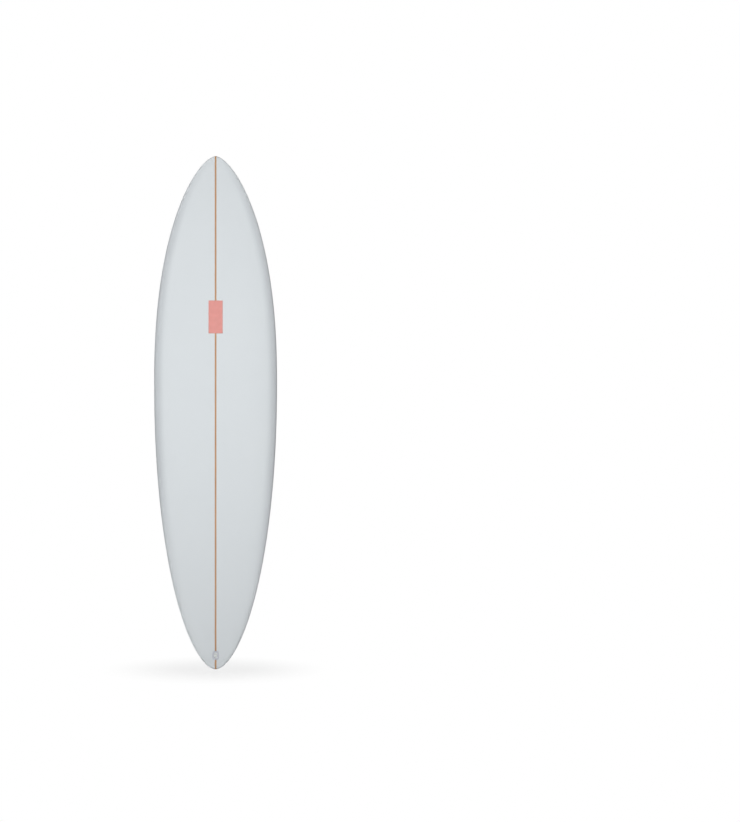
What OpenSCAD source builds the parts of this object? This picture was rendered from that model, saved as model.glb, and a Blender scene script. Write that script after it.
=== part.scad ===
// Mid-length surfboard with a rounded pin tail, two fin boxes and a leash plug.
// The board stands upright: the tail tip is at the origin, the nose points along +Z,
// the deck faces -Y and the bottom faces +Y. Left is the rider's left, -X.
// Lengths are in millimetres.

/* [Outline] */
// Length from the tail tip to the nose tip
board_length = 2134; // [2080:1:2200]
// Greatest width, from rail to rail
board_width = 517; // [495:1:545]
// Place of the greatest width, as a share of the length from the tail
wide_point = 0.56; // [0.53:0.01:0.59]
// How long the nose half stays wide
nose_hold = 2.25; // [2.1:0.05:2.4]
// How pointed the nose is
nose_point = 0.62; // [0.58:0.01:0.66]
// How long the tail half stays wide
tail_hold = 2.1; // [1.95:0.05:2.25]
// How pointed the tail is
tail_point = 0.56; // [0.52:0.01:0.6]

/* [Rocker and thickness] */
// Lift of the nose tip above the flat of the bottom
nose_rocker = 117; // [95:1:140]
// Lift of the tail tip above the flat of the bottom
tail_rocker = 51; // [40:1:62]
// Place of the flat of the bottom, as a share of the length from the tail
rocker_flat = 0.47; // [0.44:0.01:0.5]
// How late the nose lifts
nose_lift = 2.5; // [2.2:0.1:2.8]
// How late the tail lifts
tail_lift = 2.1; // [1.9:0.1:2.4]
// Greatest thickness, at the stringer
thickness = 67; // [63:1:72]
// Place of the greatest thickness, as a share of the length from the tail
thick_point = 0.52; // [0.49:0.01:0.55]
// Thickness just inside the nose tip
nose_edge = 12; // [11:0.5:15]
// Thickness just inside the tail tip
tail_edge = 14; // [13:0.5:17]

/* [Rails and bottom] */
// Height of the rail's widest line, as a share of the thickness
rail_apex = 0.31; // [0.28:0.01:0.38]
// How wide the deck stays full before it rolls into the rail
deck_breadth = 4; // [3.6:0.1:4.4]
// How boxy the upper rail is
deck_roll = 2; // [1.8:0.1:2.2]
// How far the rail tucks under to the bottom
rail_tuck = 24; // [18:1:28]
// Depth of the concave in the front half of the bottom
concave_depth = 8; // [5:0.5:9]
// Distance from the rail to the concave's edge, where the deck glass laps on to the bottom too
concave_inset = 50; // [44:1:56]
// Depth of the channel in the tail
channel_depth = 9; // [5:0.5:10]
// Distance from the stringer to the channel's edge
channel_reach = 104; // [94:1:105]

/* [Core and glass] */
// Width of the wooden stringer
stringer_width = 6.35; // [4:0.05:8]
// Thickness of each glue line beside the stringer
glue_thickness = 0.4; // [0.3:0.1:0.6]
// Thickness of the glass skin with its gloss coat
glass_thickness = 1; // [0.8:0.1:1.2]
// Thickness of the second layer of cloth on the deck
patch_thickness = 0.3; // [0.2:0.05:0.4]

/* [Label and dots] */
// Length of the label panel
label_length = 137; // [120:1:150]
// Width of the label panel
label_width = 59; // [50:1:66]
// Distance from the tail tip to the middle of the label panel
label_place = 1470; // [1430:5:1510]
// Thickness of the label panel and of the fin dots
film_thickness = 0.2; // [0.15:0.05:0.3]
// Diameter of a fin dot
dot_diameter = 27; // [22:1:30]
// Distance from the stringer to the middle of a fin dot
dot_offset = 167; // [160:1:170]
// Distance from the tail tip to the middle of a fin dot
dot_place = 440; // [432:1:450]

/* [Fin boxes] */
// Distance from the tail tip to the middle of a fin box
box_place = 350; // [335:1:360]
// Distance from the stringer to the middle of a fin box
box_offset = 126; // [123:1:130]
// Angle by which the front of a box leans towards the stringer
toe_in = 2; // [0:0.5:3]
// Length of the rim that shows at the surface
rim_length = 139; // [137:1:142]
// Width of the rim
rim_width = 11.4; // [11:0.1:12]
// Length of the fin slot
slot_length = 115; // [112:1:116]
// Width of the fin slot
slot_width = 7.2; // [6.8:0.1:7.4]
// Depth of the fin slot below the rim
slot_depth = 19; // [17:0.5:20]
// Length of the flange under the glass
flange_length = 150; // [148:1:152]
// Width of the flange
flange_width = 36; // [34:1:37]
// Number of resin windows along each side of the flange
window_count = 6; // [4:1:6]
// Diameter of the grub screw
screw_diameter = 4.8; // [4.4:0.1:5]
// Length of the grub screw
screw_length = 10; // [9:0.5:11]
// Lean of the screw, away from square to the rim
screw_lean = 40; // [38:1:42]

/* [Leash plug] */
// Distance from the tail tip to the middle of the plug
plug_place = 60; // [56:1:66]
// Length of the plug's flange, along the board
plug_length = 38; // [36:1:40]
// Width of the plug's flange
plug_width = 26; // [25:1:28]
// Depth of the cup's body
cup_depth = 13; // [12:0.5:13.5]
// Diameter of the bar across the cup
bar_diameter = 4; // [3.5:0.1:4.5]

/* [Hidden] */

LEFT = -1;
RIGHT = 1;

// Spans along the board, and the small flat and the rounding left at each tip
span_count = 36;
tip_flat = 2;
tip_round = 12;
$fn = 48;
half_width = board_width / 2;
wide_z = wide_point * board_length;
stringer_face = stringer_width / 2;
foam_face = stringer_face + glue_thickness;

// How long the thickness holds towards the tips, and how full it stays
nose_foil = [2, 0.95];
tail_foil = [2.2, 0.75];
// Most that the rail's tuck takes of the half width
tuck_share = 0.11;

// Widths of the sloping walls of the concave and of the channel, the share of a wall at which its
// facets break, and the fades of the contours along the board
concave_wall = 30;
channel_wall = 30;
wall_break = 0.5;
concave_rear = [0.37, 0.42];
concave_front = [0.74, 0.79];
channel_rear = [0.045, 0.075];
channel_front = [0.18, 0.33];
// Share of the depth that is left at the stringer
concave_middle = 0.7;
channel_middle = 0.25;
// Shares of the half width that hold these lines inside the rail where the board is narrow
edge_share = 0.14;
channel_share = 0.8;

// Depths below the surface: the skin, the inner layer of cloth, the films and the set-in blocks
core_e = glass_thickness;
patch_e = core_e - patch_thickness;
label_e = patch_e - film_thickness;
dot_e = core_e - film_thickness;
block_depth = 34;

// How far a cut runs past the surface, how deep a film's room runs below the skin, and how far
// a film's outline reaches through the board's curve
cut_over = 6;
film_room = 1;
film_reach = 25;

// Corners of the outlines, the turn between their points, and the flat left on each side of a round end
corner_turn = 7.5;
label_corner = 1;
box_corner = 4;
flange_corner = 10;
end_flat = 0.1;

// Fin box levels, measured outwards from the tangent plane at the middle of the box
rim_level = -0.4;
flange_top = -1.9;
flange_bottom = -4.4;
box_wall = 3;
box_base = 2.4;
slot_margin = 2;
slot_floor = rim_level - slot_depth;
box_floor = slot_floor - box_base;
box_width = slot_width + 2 * box_wall;
slot_shift = (slot_length - rim_length) / 2 + slot_margin;
resin_gap = 1.5;
rim_gap = 0.7;
window_length = 12;
window_width = 5.5;
window_pitch = 25;
window_border = 1.8;
bore_diameter = screw_diameter + 0.2;
screw_margin = 11.5;
screw_mouth = [0, rim_level, rim_length / 2 - screw_margin];
screw_sunk = 3;
bore_depth = 22;
hex_key = 2.4;
hex_depth = 3.4;
screw_cone = 1.6;

// Leash plug levels, measured inwards from the tangent plane at the middle of the plug
plug_level = 0.3;
plug_flange = 2;
// Overhang of the flange, walls of the cup across and along the board, its base and the bar's seats
plug_overhang = [2, 2.5];
cup_wall = [3.5, 4];
cup_base = 1.6;
bar_seat = 2;
cup_length = plug_length - 2 * plug_overhang[1];
cup_width = plug_width - 2 * plug_overhang[0];
hollow_length = cup_length - 2 * cup_wall[1];
hollow_width = cup_width - 2 * cup_wall[0];
hollow_depth = cup_depth - cup_base;
bar_level = 4.2;
bar_length = hollow_width + 2 * bar_seat;

// Shape along the board

function smooth_step(a, b, s) = let (k = min(1, max(0, (s - a) / (b - a)))) k * k * (3 - 2 * k);

function tip_distance(z) = min(z, board_length - z) + tip_flat;

// Half of the width at the height z
function outline(z) = z > wide_z
    ? half_width * pow(1 - pow((z - wide_z) / (board_length + tip_flat - wide_z), nose_hold), nose_point)
    : half_width * pow(1 - pow((wide_z - z) / (wide_z + tip_flat), tail_hold), tail_point);

// Lift of the bottom at the height z
function rocker(z) = let (s = z / board_length) s > rocker_flat
    ? nose_rocker * pow((s - rocker_flat) / (1 - rocker_flat), nose_lift)
    : tail_rocker * pow((rocker_flat - s) / rocker_flat, tail_lift);

// Thickness at the stringer, rounded off at the tips
function foil(z) = let (
        s = z / board_length,
        nose = s > thick_point,
        u = nose ? (s - thick_point) / (1 - thick_point) : (thick_point - s) / thick_point,
        fade = nose ? nose_foil : tail_foil,
        body = pow(1 - pow(u, fade[0]), fade[1]),
        edge = nose ? nose_edge : tail_edge,
        d = min(1, tip_distance(z) / tip_round)
    ) (edge + (thickness - edge) * body) * sqrt(1 - pow(1 - d, 2));

// The tail tip is centred on the origin
flat_y = tail_rocker + foil(0) / 2;
function bottom_y(z) = flat_y - rocker(z);
function deck_y(z) = bottom_y(z) - foil(z);
function bottom_lean(z) = -atan((bottom_y(z + 1) - bottom_y(z - 1)) / 2);
function deck_lean(z) = -atan((deck_y(z + 1) - deck_y(z - 1)) / 2);

// Shape across the board

// Lines of the bottom's contours on a section of half width w: their edges, the feet of their walls,
// and where the facets of a wall break
function concave_edge(w) = w - max(edge_share * w, concave_inset * pow(w / half_width, 2));
function channel_edge(w) = min(channel_reach, channel_share * w);
function concave_foot(w) = let (a = concave_edge(w)) a - min(concave_wall, (a - channel_edge(w)) * 2 / 3);
function channel_foot(w) = let (b = channel_edge(w)) b - min(channel_wall, b / 3);
function broken(edge, foot) = edge + (foot - edge) * wall_break;

// Rise of a wall at x: sharp at its edge, soft at its foot
function wall_rise(edge, foot, x) = let (k = min(1, max(0, (edge - x) / (edge - foot)))) 1 - pow(1 - k, 3);

// Depth of the bottom's contours at the distance x from the middle, on a section of half width w
function contour(x, w, z) = let (
        s = z / board_length,
        concave = concave_depth * smooth_step(concave_rear[0], concave_rear[1], s)
            * (1 - smooth_step(concave_front[0], concave_front[1], s)),
        channel = channel_depth * smooth_step(channel_rear[0], channel_rear[1], s)
            * (1 - smooth_step(channel_front[0], channel_front[1], s)),
        a = concave_edge(w),
        b = channel_edge(w)
    )
    concave * wall_rise(a, concave_foot(w), x) * (concave_middle + (1 - concave_middle) * x / a)
    + channel * wall_rise(b, channel_foot(w), x) * (channel_middle + (1 - channel_middle) * x / b);

// Columns run round the right half of a section, from the stringer on the deck, over the rail,
// to the stringer on the bottom. The left half mirrors them.
deck_shares = [0.22, 0.44, 0.62, 0.77, 0.88, 0.95, 0.988];
tuck_angles = [0, 35, 65, 90];
APEX = 2 + len(deck_shares);
LAP = APEX + len(tuck_angles);
PATCH_EDGE = APEX - 2;
FITTING_EDGE = 4;
LAST = LAP + 7;
LOOP = 2 * (LAST + 1);

function deck_height(x, w, h, e, apex) =
    apex + (h - e - apex) * pow(max(0, 1 - pow(x / w, deck_breadth)), 1 / deck_roll);

// Place across the board, and height above the bottom, of column k at a depth e below the surface
function column(k, z, e) = let (
        w = outline(z) - e,
        h = foil(z),
        apex = rail_apex * h,
        tuck = min(rail_tuck, tuck_share * w),
        a = concave_edge(w),
        a_break = broken(a, concave_foot(w)),
        b = channel_edge(w),
        b_break = broken(b, channel_foot(w)),
        bottom_x = [a, a_break, (a_break + b) / 2, b, b_break, (b_break + foam_face) / 2]
    )
    k == 0 ? [stringer_face, h - e]
    : k == 1 ? [foam_face, h - e]
    : k < APEX ? let (x = foam_face + (w - foam_face) * deck_shares[k - 2])
        [x, deck_height(x, w, h, e, apex)]
    : k < LAP ? let (turn = tuck_angles[k - APEX])
        [w - tuck * (1 - cos(turn)), apex - (apex - e) * sin(turn)]
    : k < LAST - 1 ? let (x = bottom_x[k - LAP]) [x, e + contour(x, w, z)]
    : [k == LAST ? stringer_face : foam_face, e + contour(0, w, z)];

all_rows = [0, span_count];
patch_rows = [1, span_count - 1];
function station(i) = board_length * (1 - cos(180 * i / span_count)) / 2;
function inset_z(z, e) = e + (board_length - 2 * e) * z / board_length;

// The point at station i and place j round the section's whole loop, at a depth e
function hull_point(i, j, e) = let (
        z = station(i),
        n = (j + LOOP) % LOOP,
        left = n > LAST,
        c = column(left ? LOOP - 1 - n : n, z, e)
    ) [left ? -c[0] : c[0], bottom_y(z) - c[1], inset_z(z, e)];

// Two triangles of one patch, clockwise from outside. The left half mirrors the right, so that
// layers meet face to face.
function facets(a, b, c, d, left) = left ? [[a, d, b], [b, d, c]] : [[a, c, b], [a, d, c]];

// The same face from its other side, from the same first corner
function backwards(face) = [for (n = [0 : len(face) - 1]) face[(len(face) - n) % len(face)]];
function turned(faces) = [for (face = faces) backwards(face)];
function is_left(j) = (j + LOOP) % LOOP > LAST;

// A layer between the depths outer and inner, over the stations rows and the loop places span.
// The inner side may be shifted along Y by sink. With tips, the layer also closes round both ends
// of what it holds. A recess is a depth, its rows and its span, where the inner side lies shallower.
module layer(outer, inner, rows, span, sink = 0, tips = false, recess = undef) {
    first = tips ? 0 : span[0];
    count = tips ? LOOP : span[1] - span[0] + 1;
    size = (rows[1] - rows[0] + 1) * count;
    depths = is_undef(recess) ? [outer, inner] : [outer, inner, recess[0]];
    points = [for (n = [0 : len(depths) - 1], i = [rows[0] : rows[1]], j = [first : first + count - 1])
        hull_point(i, j, depths[n]) + [0, n == 1 ? sink : 0, 0]];

    function at(n, i, j) = n * size + (i - rows[0]) * count + (tips ? (j + LOOP) % LOOP : j - first);
    function sheet(n, rows, span, left_out = []) =
        [for (i = [rows[0] : rows[1] - 1], j = [span[0] : span[1] - 1])
            if (len(left_out) == 0 || i < left_out[1][0] || i >= left_out[1][1]
                    || j < left_out[2][0] || j >= left_out[2][1])
                each facets(at(n, i, j), at(n, i, j + 1), at(n, i + 1, j + 1), at(n, i + 1, j), is_left(j))];
    function across(upper, lower, i, span) = [for (j = [span[0] : span[1] - 1]) each [
        [at(upper, i, j), at(upper, i, j + 1), at(lower, i, j + 1)],
        [at(upper, i, j), at(lower, i, j + 1), at(lower, i, j)]]];
    function along(upper, lower, j, rows) = [for (i = [rows[0] : rows[1] - 1]) each [
        [at(upper, i, j), at(lower, i, j), at(lower, i + 1, j)],
        [at(upper, i, j), at(lower, i + 1, j), at(upper, i + 1, j)]]];
    function rim(upper, lower, rows, span) = concat(
        across(upper, lower, rows[0], span), turned(across(upper, lower, rows[1], span)),
        along(upper, lower, span[0], rows), turned(along(upper, lower, span[1], rows)));
    function cap(n, i) = [for (j = [0 : LOOP - 1]) at(n, i, APEX + j)];
    function tip_caps() = let (rest = [span[1], span[0] + LOOP]) concat(
        [cap(0, rows[0]), backwards(cap(0, rows[1])), backwards(cap(1, rows[0])), cap(1, rows[1])],
        along(0, 1, span[0], rows), turned(along(0, 1, span[1], rows)),
        turned(across(0, 1, rows[0], rest)), across(0, 1, rows[1], rest));

    inside = is_undef(recess)
        ? sheet(1, rows, span)
        : concat(sheet(1, rows, span, recess), sheet(2, recess[1], recess[2]),
            rim(2, 1, recess[1], recess[2]));
    edges = tips ? tip_caps() : rim(0, 1, rows, span);
    polyhedron(points, concat(sheet(0, rows, span), turned(inside), edges), convexity = 10);
}

// The half of the foam on one side, before anything is set into it
module foam_half(side) {
    columns = [for (k = [1 : LAST - 1]) k];
    count = len(columns);
    points = [for (i = [0 : span_count], k = columns)
        let (p = hull_point(i, k, core_e)) [side * p[0], p[1], p[2]]];
    function at(i, n) = i * count + n % count;
    walls = [for (i = [0 : span_count - 1], n = [0 : count - 1]) each
        facets(at(i, n), at(i, n + 1), at(i + 1, n + 1), at(i + 1, n), false)];
    tail_end = [for (n = [0 : count - 1]) at(0, n)];
    nose_end = [for (n = [0 : count - 1]) at(span_count, n)];
    faces = concat(walls, [tail_end, backwards(nose_end)]);
    polyhedron(points, side == RIGHT ? faces : turned(faces), convexity = 10);
}

// A plate with the profile of the core at the stringer, from x_low to x_high
module core_plate(x_low, x_high) {
    deck_line = [for (i = [0 : span_count]) let (p = hull_point(i, 0, core_e)) [p[1], p[2]]];
    bottom_line = [for (i = [span_count : -1 : 0]) let (p = hull_point(i, LAST, core_e)) [p[1], p[2]]];
    translate([x_low, 0, 0]) rotate([90, 0, 90])
        linear_extrude(x_high - x_low) polygon(concat(deck_line, bottom_line));
}

// Outlines with straight-sided round corners, so that set-in pieces meet face to face

function corner(x, y, r, from) =
    [for (a = [0 : corner_turn : 90]) [x + r * cos(from + a), y + r * sin(from + a)]];
function rounded(length, width, r) = let (x = width / 2 - r, y = length / 2 - r)
    concat(corner(x, y, r, 0), corner(-x, y, r, 90), corner(-x, -y, r, 180), corner(x, -y, r, 270));
function round_ended(length, width) = rounded(length, width, width / 2 - end_flat);
function rectangle(length, width) =
    [for (c = [[-1, -1], [1, -1], [1, 1], [-1, 1]]) [c[0] * width, c[1] * length] / 2];

// An upright plate of an outline, between two levels along Y
module plate(outline_points, low, high) {
    translate([0, high, 0]) rotate([90, 0, 0]) linear_extrude(high - low) polygon(outline_points);
}

// The frame of a fin box: +Y out of the bottom, +Z along the slot to the nose
module at_box(side) {
    translate([side * box_offset, bottom_y(box_place), box_place])
        rotate([bottom_lean(box_place), 0, 0]) rotate([0, -side * toe_in, 0]) children();
}

// The frame of the leash plug: -Y out of the deck
module at_plug() {
    translate([0, deck_y(plug_place), plug_place]) rotate([deck_lean(plug_place), 0, 0]) children();
}

// The frame of a grub screw: +Z out of its mouth
module at_screw(side) {
    at_box(side) translate(screw_mouth) rotate([screw_lean - 90, 0, 0]) children();
}

// Hollows cut for a fin box: the pocket in the foam, and the opening in the glass
module box_pocket(side) {
    at_box(side) {
        plate(rounded(flange_length + 2 * resin_gap, flange_width + 2 * resin_gap, flange_corner + resin_gap),
            flange_bottom - resin_gap, cut_over);
        plate(rounded(rim_length + 2 * resin_gap, box_width + 2 * resin_gap, box_corner + resin_gap),
            box_floor - resin_gap, flange_bottom);
    }
}

module box_opening(side) {
    at_box(side)
        plate(round_ended(rim_length + 2 * rim_gap, rim_width + 2 * rim_gap), flange_top, cut_over);
}

// Hollows cut for the leash plug
module plug_pocket() {
    at_plug() {
        plate(round_ended(cup_length + 2 * resin_gap, cup_width + 2 * resin_gap), 0, cup_depth + resin_gap);
        plug_opening_plate(plug_flange + rim_gap);
    }
}

module plug_opening_plate(depth) {
    plate(round_ended(plug_length + 2 * rim_gap, plug_width + 2 * rim_gap), -cut_over, depth);
}

// Parts of the board near a fitting, as blocks. The rows are the stations round a place on the board.
function rows_round(low, high) = let (
        inside = [for (i = [0 : span_count]) if (station(i) > low && station(i) < high) i]
    ) [inside[0] - 1, inside[len(inside) - 1] + 1];
box_rows = rows_round(box_place - flange_length, box_place + flange_length);
dot_rows = rows_round(dot_place - dot_diameter, dot_place + dot_diameter);
plug_rows = rows_round(plug_place - plug_length, plug_place + plug_length);
label_rows = rows_round(label_place - label_length, label_place + label_length);

function deck_span(reach) = [LOOP - 1 - reach, LOOP + reach];
function bottom_span(side) = side == RIGHT ? [APEX + 1, LAST] : [LOOP - 1 - LAST, LOOP - 2 - APEX];

module bottom_block(side, outer, inner, rows, sink = 0) {
    layer(outer, inner, rows, bottom_span(side), sink = -sink);
}

module deck_block(outer, inner, rows, sink = 0) {
    layer(outer, inner, rows, deck_span(FITTING_EDGE), sink = sink);
}

module label_outline() {
    translate([0, deck_y(label_place), label_place])
        plate(rounded(label_length, label_width, label_corner), -film_reach, film_reach);
}

module dot_outline(side) {
    translate([side * dot_offset, bottom_y(dot_place), dot_place])
        plate(rounded(dot_diameter, dot_diameter, dot_diameter / 2 - end_flat), -film_reach, film_reach);
}

module label_film(outer, inner) {
    intersection() {
        deck_block(outer, inner, label_rows);
        label_outline();
    }
}

module dot_film(side, outer, inner) {
    intersection() {
        bottom_block(side, outer, inner, dot_rows);
        dot_outline(side);
    }
}

// Room in the glass for what lies at the bottom's surface
module bottom_cutouts() {
    for (side = [LEFT, RIGHT]) {
        box_opening(side);
        dot_film(side, dot_e, core_e + film_room);
    }
}

// The pieces

module foam(side) {
    color("white") difference() {
        foam_half(side);
        box_pocket(side);
        plug_pocket();
    }
}

module stringer() {
    color("peru") difference() {
        core_plate(-stringer_face, stringer_face);
        plug_pocket();
    }
}

module stringer_glue(side) {
    color("burlywood") difference() {
        core_plate(side == RIGHT ? stringer_face : -foam_face, side == RIGHT ? foam_face : -stringer_face);
        plug_pocket();
    }
}

module deck_patch() {
    color("aliceblue") difference() {
        layer(patch_e, core_e, patch_rows, deck_span(PATCH_EDGE));
        plug_pocket();
    }
}

module deck_glass() {
    color("ghostwhite") difference() {
        layer(0, core_e, all_rows, deck_span(LAP), tips = true,
            recess = [patch_e, patch_rows, deck_span(PATCH_EDGE)]);
        label_film(label_e, core_e + film_room);
        at_plug() plug_opening_plate(plug_flange + rim_gap);
        bottom_cutouts();
    }
}

module bottom_glass() {
    color("ghostwhite") difference() {
        layer(0, core_e, all_rows, [LAP, LOOP - 1 - LAP]);
        bottom_cutouts();
    }
}

module label_panel() {
    color("salmon") label_film(label_e, patch_e);
}

module fin_dot(side) {
    color("black") dot_film(side, dot_e, core_e);
}

// The holes along both sides of the flange, which the resin fills
module flange_windows() {
    x = flange_width / 2 - window_border - window_width / 2;
    for (row = [0 : window_count - 1], side = [LEFT, RIGHT])
        translate([side * x, 0, (row - (window_count - 1) / 2) * window_pitch])
            plate(rectangle(window_length, window_width), flange_bottom - cut_over, flange_top + cut_over);
}

module fin_box(side) {
    color("white") difference() {
        at_box(side) difference() {
            union() {
                plate(rounded(rim_length, box_width, box_corner), box_floor, flange_top);
                plate(round_ended(rim_length, rim_width), flange_bottom, rim_level);
                plate(rounded(flange_length, flange_width, flange_corner), flange_bottom, flange_top);
            }
            translate([0, 0, slot_shift]) plate(round_ended(slot_length, slot_width), slot_floor, cut_over);
            flange_windows();
        }
        at_screw(side) translate([0, 0, -bore_depth])
            cylinder(h = bore_depth + cut_over, d = bore_diameter);
    }
}

module fin_box_resin(side) {
    color("lightsteelblue") difference() {
        union() {
            intersection() {
                bottom_block(side, core_e, core_e, box_rows, block_depth);
                box_pocket(side);
            }
            intersection() {
                bottom_block(side, 0, 0, box_rows, block_depth);
                box_opening(side);
            }
        }
        at_box(side) {
            plate(rounded(rim_length, box_width, box_corner), box_floor, flange_top);
            plate(round_ended(rim_length, rim_width), flange_bottom, cut_over);
            difference() {
                plate(rounded(flange_length, flange_width, flange_corner), flange_bottom, flange_top);
                flange_windows();
            }
        }
    }
}

module fin_screw(side) {
    color("silver") at_screw(side) translate([0, 0, -screw_sunk]) difference() {
        union() {
            translate([0, 0, screw_cone - screw_length])
                cylinder(h = screw_length - screw_cone, d = screw_diameter);
            translate([0, 0, -screw_length])
                cylinder(h = screw_cone, d1 = screw_diameter / 2, d2 = screw_diameter);
        }
        translate([0, 0, -hex_depth]) cylinder(h = hex_depth + cut_over, d = hex_key / cos(30), $fn = 6);
    }
}

module leash_cup() {
    color("whitesmoke") at_plug() difference() {
        union() {
            plate(round_ended(plug_length, plug_width), plug_level, plug_flange);
            plate(round_ended(cup_length, cup_width), plug_level, cup_depth);
        }
        plate(round_ended(hollow_length, hollow_width), -cut_over, hollow_depth);
        leash_bar_form();
    }
}

module leash_bar_form() {
    translate([-bar_length / 2, bar_level, 0]) rotate([0, 90, 0])
        cylinder(h = bar_length, d = bar_diameter);
}

module leash_bar() {
    color("silver") at_plug() leash_bar_form();
}

module leash_resin() {
    color("lightsteelblue") difference() {
        union() {
            intersection() {
                deck_block(core_e, core_e, plug_rows, block_depth);
                plug_pocket();
            }
            intersection() {
                deck_block(0, 0, plug_rows, block_depth);
                at_plug() plug_opening_plate(plug_flange + rim_gap);
            }
        }
        at_plug() {
            plate(round_ended(plug_length, plug_width), -cut_over, plug_flange);
            plate(round_ended(cup_length, cup_width), 0, cup_depth);
        }
    }
}

foam(LEFT);  // foam_left
foam(RIGHT);  // foam_right
stringer();
stringer_glue(LEFT);  // stringer_glue_left
stringer_glue(RIGHT);  // stringer_glue_right
deck_patch();
deck_glass();
bottom_glass();
label_panel();
fin_box(LEFT);  // fin_box_left
fin_box(RIGHT);  // fin_box_right
fin_box_resin(LEFT);  // fin_box_resin_left
fin_box_resin(RIGHT);  // fin_box_resin_right
fin_screw(LEFT);  // fin_screw_left
fin_screw(RIGHT);  // fin_screw_right
fin_dot(LEFT);  // fin_dot_left
fin_dot(RIGHT);  // fin_dot_right
leash_cup();
leash_bar();
leash_resin();
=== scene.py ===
"""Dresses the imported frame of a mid-length surfboard: foam and wood under clear glass, and fittings."""
import math

import bmesh
import bpy
from bpy.props import FloatProperty, FloatVectorProperty, PointerProperty
from mathutils import Matrix, Vector


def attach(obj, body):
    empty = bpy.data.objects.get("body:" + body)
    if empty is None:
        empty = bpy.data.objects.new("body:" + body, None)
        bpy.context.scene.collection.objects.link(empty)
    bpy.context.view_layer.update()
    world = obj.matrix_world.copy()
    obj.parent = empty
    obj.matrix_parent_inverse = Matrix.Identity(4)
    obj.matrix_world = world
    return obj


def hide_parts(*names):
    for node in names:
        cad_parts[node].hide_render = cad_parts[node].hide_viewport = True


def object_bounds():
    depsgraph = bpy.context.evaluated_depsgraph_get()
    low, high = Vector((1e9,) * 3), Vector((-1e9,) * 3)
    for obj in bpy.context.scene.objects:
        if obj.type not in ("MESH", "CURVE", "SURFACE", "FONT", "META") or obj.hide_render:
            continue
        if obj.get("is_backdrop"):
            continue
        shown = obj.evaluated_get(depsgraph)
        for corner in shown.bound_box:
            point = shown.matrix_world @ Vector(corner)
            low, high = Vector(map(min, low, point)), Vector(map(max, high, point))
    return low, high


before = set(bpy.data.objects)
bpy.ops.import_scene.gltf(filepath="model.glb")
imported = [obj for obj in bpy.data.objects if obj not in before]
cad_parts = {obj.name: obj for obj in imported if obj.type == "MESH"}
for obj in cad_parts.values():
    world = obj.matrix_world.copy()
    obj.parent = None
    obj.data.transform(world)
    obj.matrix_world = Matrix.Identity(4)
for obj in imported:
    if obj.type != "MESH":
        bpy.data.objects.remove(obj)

bl_info = {
    "name": "Mid-length Surfboard",
    "version": (1, 0, 0),
    "blender": (4, 5, 0),
    "location": "3D View > Sidebar > Surfboard",
    "description": "Dresses the frame of a mid-length surfboard and sets its studio stage",
    "category": "Mesh",
}

CAD_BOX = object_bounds()
LEFT, RIGHT = -1, 1
SIDE_NAMES = {LEFT: "left", RIGHT: "right"}

# Rows of the board's mesh along it and round each tip, and the share of them that is evenly spaced
ROWS = 200
TIP_ROWS = 5
EVEN_ROWS = 0.2
# Steps from the stringer over the deck to the rail, and from there under the rail
DECK_STEPS = 26
TUCK_STEPS = 10
# Places across the bottom: on a contour's wall, between the two walls and from the inner one to the
# stringer, and one just outside the outer wall, which keeps its edge sharp
WALL_STEPS = (0.0, 0.08, 0.2, 0.4, 0.65, 1.0)
FLAT_STEPS = (0.3, 0.6, 0.88, 0.99)
MIDDLE_STEPS = (0.3, 0.6, 0.85, 1.0)
EDGE_SUPPORT = 0.03
# Steps from the stringer to the end of the deck's glass, under the rail, and to that of the inner cloth,
# and the rows that the cloth leaves free at a tip
LAP = DECK_STEPS + TUCK_STEPS + 2
CLOTH_STEPS = 19
CLOTH_ENDS = 2
# Steps of the label, round a dot, round a corner seen from above and round an eased edge
LABEL_COLUMNS, LABEL_ROWS = 24, 48
DOT_STEPS = 64
CORNER_STEPS = 10
EASE_STEPS = 3
# The angle above which an edge is sharp, and the one below which two faces are one
SMOOTH_ANGLE = math.radians(32)
FLAT_ANGLE = math.radians(0.5)
# Points closer together than this are one
SAME_POINT = 1e-6
# A share of a wall's width and a length within which a point counts as on an edge or on a surface
EDGE_PLAY = 0.01
SURFACE_PLAY = 0.002

# Shares of the half width that bound the rail's tuck and the bottom's lines where the board is narrow
TUCK_SHARE = 0.11
EDGE_SHARE = 0.14
CHANNEL_SHARE = 0.8

WHITE = (1.0, 1.0, 1.0, 1.0)
# Share of the white surroundings that a clear coat mirrors, and the most of it, at a glancing angle
MIRROR_SHARE = 0.3
MOST_MIRROR = 0.05
# Refraction of the gloss coat, and the specular level of a surface that resin wets
GLASS_IOR = 1.5
UNDER_GLASS = 0.0
# Strands of the cloth to the metre, and how much of the cloth, the label and the resin's haze shows
STRANDS = 700.0
CLOTH_COVER = (0.0, 0.03)
LABEL_COVER = (0.56, 0.72)
HAZE_COVER = (0.06, 0.16)
# Range that the wood's streaks are spread to, so that both of its colours show
WOOD_CONTRAST = (-0.6, 1.6)
# Range of roughness and depth of the grain of moulded plastic
MOULDED_ROUGHNESS, MOULDED_GRAIN = (0.3, 0.45), 0.00003
# Light Path outputs of the rays that see the plain white surroundings
SEEING_RAYS = ("Is Camera Ray", "Is Glossy Ray", "Is Transmission Ray")


def size(name, description, default):
    return FloatProperty(
        name=name, description=description, default=default, unit="LENGTH", precision=4)


def share(name, description, default):
    return FloatProperty(name=name, description=description, default=default, precision=3)


def angle(name, description, degrees):
    return FloatProperty(
        name=name, description=description, default=math.radians(degrees), subtype="ANGLE")


def tint(name, description, default):
    return FloatVectorProperty(
        name=name, description=description, default=default, size=3, subtype="COLOR", min=0.0, max=1.0)


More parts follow.
